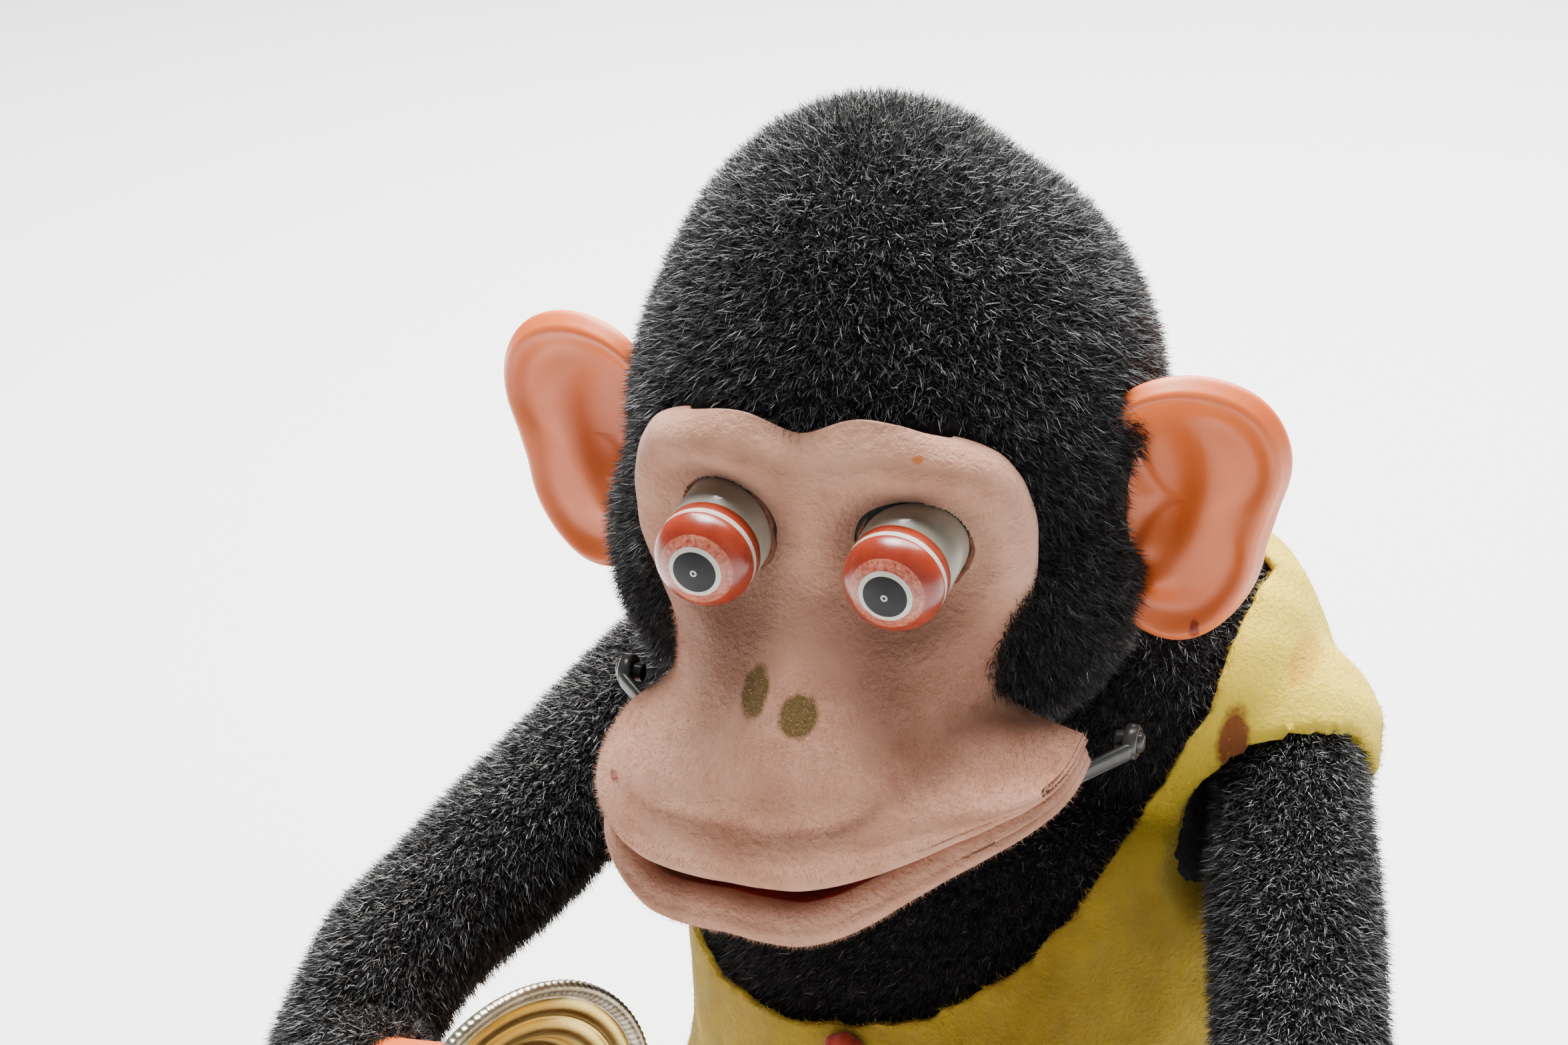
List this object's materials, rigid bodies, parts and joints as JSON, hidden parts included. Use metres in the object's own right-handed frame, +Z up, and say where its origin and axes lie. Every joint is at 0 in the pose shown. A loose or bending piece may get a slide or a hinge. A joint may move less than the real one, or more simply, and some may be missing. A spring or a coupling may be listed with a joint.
{
  "type": "wind-up toy",
  "caption": "Seated plush animal figure over a tin clockwork casing: it claps two brass cymbals, nods, pops out its eyes and works its jaw.",
  "frame": {"origin": "on the underside of the base tray, on the mid-plane below the shoulder line", "axes": "+Z up, -Y towards the front, +X towards the figure's own left"},
  "size_m": [0.23, 0.1866, 0.2604],
  "materials": {
    "tin": "satin",
    "steel": "satin",
    "brass": "polished",
    "black_plush": "matt pile",
    "yellow_felt": "felt",
    "red_felt": "felt",
    "trouser_cloth": "woven",
    "pink_flock": "flocked",
    "orange_vinyl": "satin",
    "grey_plastic": "satin",
    "eye_paint": "gloss",
    "mouth_red": "matt",
    "shoe_vinyl": "satin"
  },
  "bodies": {
    "chassis": {"base_tray": "tin", "base_screws": "steel", "front_casing": "tin", "back_casing": "tin", "shoulder_plate": "steel", "shoulder_pins": "steel", "neck_post": "steel", "motor_plate_left": "steel", "motor_plate_right": "steel", "motor_pillars": "steel", "mainspring": "steel", "torso_plush": "black_plush", "vest": "yellow_felt", "vest_button": "red_felt", "trousers_seat": "trouser_cloth", "left_trouser_leg": "trouser_cloth", "right_trouser_leg": "trouser_cloth", "left_foot": "shoe_vinyl", "right_foot": "shoe_vinyl"},
    "winding_key": {"key_handle": "steel", "key_arbor": "steel", "ratchet_wheel": "steel"},
    "great_wheel": {"great_wheel": "brass", "click": "steel"},
    "second_wheel": {"second_arbor": "steel", "second_wheel": "brass"},
    "crank_shaft": {"crank_arbor": "steel", "crank_wheel": "brass", "crank_disc": "steel"},
    "governor": {"governor_arbor": "steel", "governor_fly": "brass"},
    "yoke": {"arm_yoke": "steel"},
    "left_arm": {"left_arm_lever": "steel", "left_arm_rod": "steel", "left_arm_sleeve": "black_plush", "left_hand": "orange_vinyl", "left_cymbal": "brass", "left_cymbal_rivet": "steel"},
    "right_arm": {"right_arm_lever": "steel", "right_arm_rod": "steel", "right_arm_sleeve": "black_plush", "right_hand": "orange_vinyl", "right_cymbal": "brass", "right_cymbal_rivet": "steel"},
    "neck": {"neck_collar": "steel"},
    "head": {"skull_front": "tin", "skull_back": "tin", "head_plush": "black_plush", "face_mask": "pink_flock", "left_ear": "orange_vinyl", "right_ear": "orange_vinyl", "head_bracket": "steel", "nod_pin": "steel", "jaw_pegs": "grey_plastic"},
    "jaw": {"jaw_straps": "grey_plastic", "chin": "pink_flock", "mouth_lining": "mouth_red"},
    "eyes": {"left_eye": "eye_paint", "right_eye": "eye_paint", "eye_bar": "grey_plastic"}
  },
  "joints": [
    {"name": "key_turn", "type": "hinge", "parent": "chassis", "child": "winding_key", "pos_m": [0.07, 0.014, 0.056], "axis": [1, 0, 0], "continuous": true},
    {"name": "great_wheel_turn", "type": "hinge", "parent": "chassis", "child": "great_wheel", "pos_m": [-0.002, 0.014, 0.056], "axis": [1, 0, 0], "continuous": true},
    {"name": "second_wheel_turn", "type": "hinge", "parent": "chassis", "child": "second_wheel", "pos_m": [0, 0.00207, 0.07304], "axis": [1, 0, 0], "continuous": true},
    {"name": "crank_turn", "type": "hinge", "parent": "chassis", "child": "crank_shaft", "pos_m": [0, 0.00726, 0.08902], "axis": [1, 0, 0], "continuous": true},
    {"name": "governor_turn", "type": "hinge", "parent": "chassis", "child": "governor", "pos_m": [0, -0.00269, 0.09573], "axis": [1, 0, 0], "continuous": true},
    {"name": "left_arm_swing", "type": "hinge", "parent": "chassis", "child": "left_arm", "pos_m": [0.067, 0.004, 0.119], "axis": [0, 0, -1], "range_deg": [0, 22.5]},
    {"name": "right_arm_swing", "type": "hinge", "parent": "chassis", "child": "right_arm", "pos_m": [-0.067, 0.004, 0.119], "axis": [0, 0, 1], "range_deg": [0, 22.5]},
    {"name": "yoke_slide", "type": "slide", "parent": "chassis", "child": "yoke", "axis": [0, 1, 0], "range_m": [0, 0.00547]},
    {"name": "head_turn", "type": "hinge", "parent": "chassis", "child": "neck", "pos_m": [0, -0.012, 0.14], "axis": [0, 0, 1], "range_deg": [-20, 12]},
    {"name": "head_nod", "type": "hinge", "parent": "neck", "child": "head", "pos_m": [0, -0.012, 0.1585], "axis": [-0.9903, -0.1392, 0], "range_deg": [0, 8]},
    {"name": "jaw_hinge", "type": "hinge", "parent": "head", "child": "jaw", "pos_m": [0.00573, -0.05276, 0.15322], "axis": [-0.9903, -0.1392, 0], "range_deg": [0, 4]},
    {"name": "eye_slide", "type": "slide", "parent": "head", "child": "eyes", "axis": [-0.1378, 0.9806, 0.1392], "range_m": [0, 0.007]}
  ],
  "couplings": [
    {"joint": "great_wheel_turn", "follows": "crank_turn", "ratio": 0.1},
    {"joint": "second_wheel_turn", "follows": "crank_turn", "ratio": -0.33333},
    {"joint": "governor_turn", "follows": "crank_turn", "ratio": -3},
    {"joint": "right_arm_swing", "follows": "left_arm_swing", "ratio": 1},
    {"joint": "yoke_slide", "follows": "left_arm_swing", "m_per_rad": 0.01391},
    {"joint": "jaw_hinge", "follows": "head_nod", "ratio": 0.4995},
    {"joint": "eye_slide", "follows": "head_nod", "m_per_rad": 0.050084}
  ]
}
